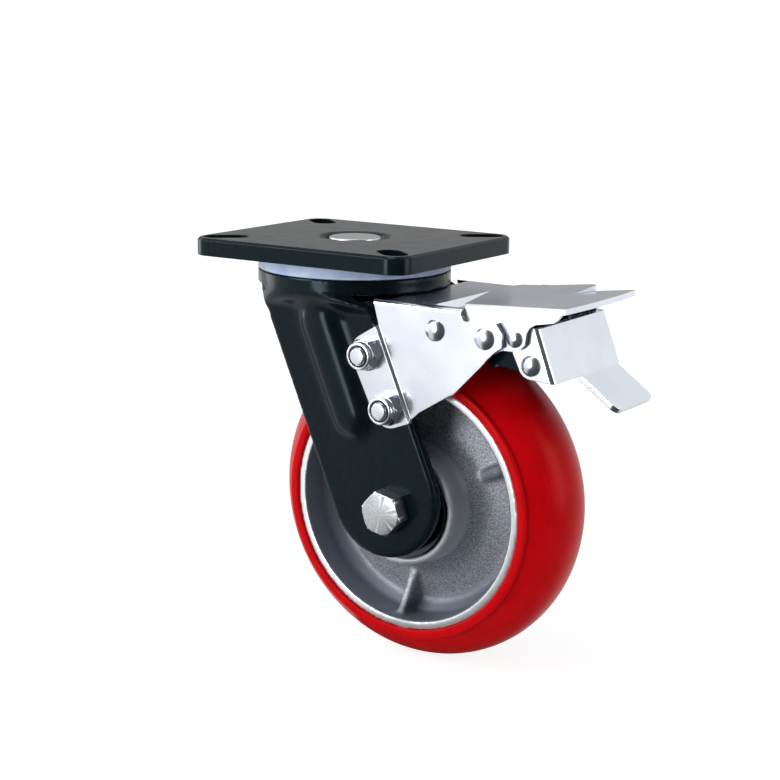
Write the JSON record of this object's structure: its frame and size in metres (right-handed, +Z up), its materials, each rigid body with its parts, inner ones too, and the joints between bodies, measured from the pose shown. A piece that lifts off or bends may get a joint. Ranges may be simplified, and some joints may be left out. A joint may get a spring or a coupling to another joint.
{
  "type": "castor",
  "caption": "Swivel castor with a plate mount, a red tyre on a cast wheel, and a foot brake with a pedal, a release lever and a shoe that a toggle presses on the tyre",
  "frame": {"origin": "centre of the top plate's upper face, on the swivel axis, where the kingpin's head lies flush", "axes": "+Z up, out of the top plate; +X the trailing side, towards the wheel's axle and the pedal; +Y along the axle, away from the side with the axle bolt's head"},
  "size_m": [0.1965, 0.101, 0.19],
  "materials": {
    "black_coat": "glossy black coating over steel",
    "kingpin_steel": "pale plated steel head",
    "zinc_steel": "zinc plated steel",
    "bearing_steel": "ground bearing steel",
    "seal_plastic": "pale blue-grey plastic",
    "bolt_zinc": "dull zinc plated steel",
    "cast_aluminium": "cast aluminium with a turned rim",
    "red_polyurethane": "glossy deep red polyurethane",
    "bright_zinc": "bright zinc plated sheet steel"
  },
  "bodies": {
    "plate": {"top_plate": "black_coat", "kingpin": "kingpin_steel", "kingpin_nut": "zinc_steel", "lower_race": "bearing_steel"},
    "fork": {"fork": "black_coat", "dust_seal": "seal_plastic", "brake_bracket": "bright_zinc", "bracket_bolts": "bright_zinc", "bracket_nuts": "bright_zinc", "axle_bolt": "bolt_zinc", "axle_nut": "bolt_zinc", "axle_washer": "bolt_zinc", "axle_sleeve": "zinc_steel", "bearing_spacer": "zinc_steel", "hub_washers": "zinc_steel", "bearing_inner_rings": "bearing_steel", "arm_pivot_pin": "bright_zinc", "arm_spacers": "zinc_steel", "pedal_rivets": "bright_zinc"},
    "upper_ball_row": {"upper_balls": "bearing_steel"},
    "lower_ball_row": {"lower_balls": "bearing_steel"},
    "wheel_ball_row": {"wheel_balls": "bearing_steel"},
    "wheel": {"wheel_core": "cast_aluminium", "tyre": "red_polyurethane", "bearing_outer_rings": "bearing_steel", "bearing_shields": "zinc_steel"},
    "pedal": {"pedal": "bright_zinc", "link_rivets": "bright_zinc"},
    "release_lever": {"release_lever": "bright_zinc", "lever_rivets": "bright_zinc"},
    "brake_arm": {"brake_arm": "black_coat"}
  },
  "joints": [
    {"name": "swivel", "type": "hinge", "parent": "plate", "child": "fork", "pos_m": [0, 0, 0], "axis": [0, 0, 1], "continuous": true},
    {"name": "upper_ball_roll", "type": "hinge", "parent": "plate", "child": "upper_ball_row", "pos_m": [0, 0, 0], "axis": [0, 0, 1], "continuous": true},
    {"name": "lower_ball_roll", "type": "hinge", "parent": "plate", "child": "lower_ball_row", "pos_m": [0, 0, 0], "axis": [0, 0, 1], "continuous": true},
    {"name": "wheel_spin", "type": "hinge", "parent": "fork", "child": "wheel", "pos_m": [0.044, 0, -0.115], "axis": [0, 1, 0], "continuous": true},
    {"name": "wheel_ball_roll", "type": "hinge", "parent": "fork", "child": "wheel_ball_row", "pos_m": [0.044, 0, -0.115], "axis": [0, 1, 0], "continuous": true},
    {"name": "pedal_hinge", "type": "hinge", "parent": "fork", "child": "pedal", "pos_m": [0.0907, 0, -0.0326], "axis": [0, 1, 0], "range_deg": [0, 58]},
    {"name": "lever_hinge", "type": "hinge", "parent": "pedal", "child": "release_lever", "pos_m": [0.1037, 0, -0.0317], "axis": [0, 1, 0], "range_deg": [-64, 0]},
    {"name": "arm_hinge", "type": "hinge", "parent": "fork", "child": "brake_arm", "pos_m": [0.0664, 0, -0.0316], "axis": [0, 1, 0], "range_deg": [0, 14.7]}
  ],
  "couplings": [
    {"joint": "upper_ball_roll", "follows": "swivel", "ratio": 0.5},
    {"joint": "lower_ball_roll", "follows": "swivel", "ratio": 0.5},
    {"joint": "wheel_ball_roll", "follows": "wheel_spin", "ratio": 0.42},
    {"joint": "lever_hinge", "follows": "pedal_hinge", "ratio": -1.1},
    {"joint": "arm_hinge", "follows": "pedal_hinge", "ratio": 0.252}
  ]
}
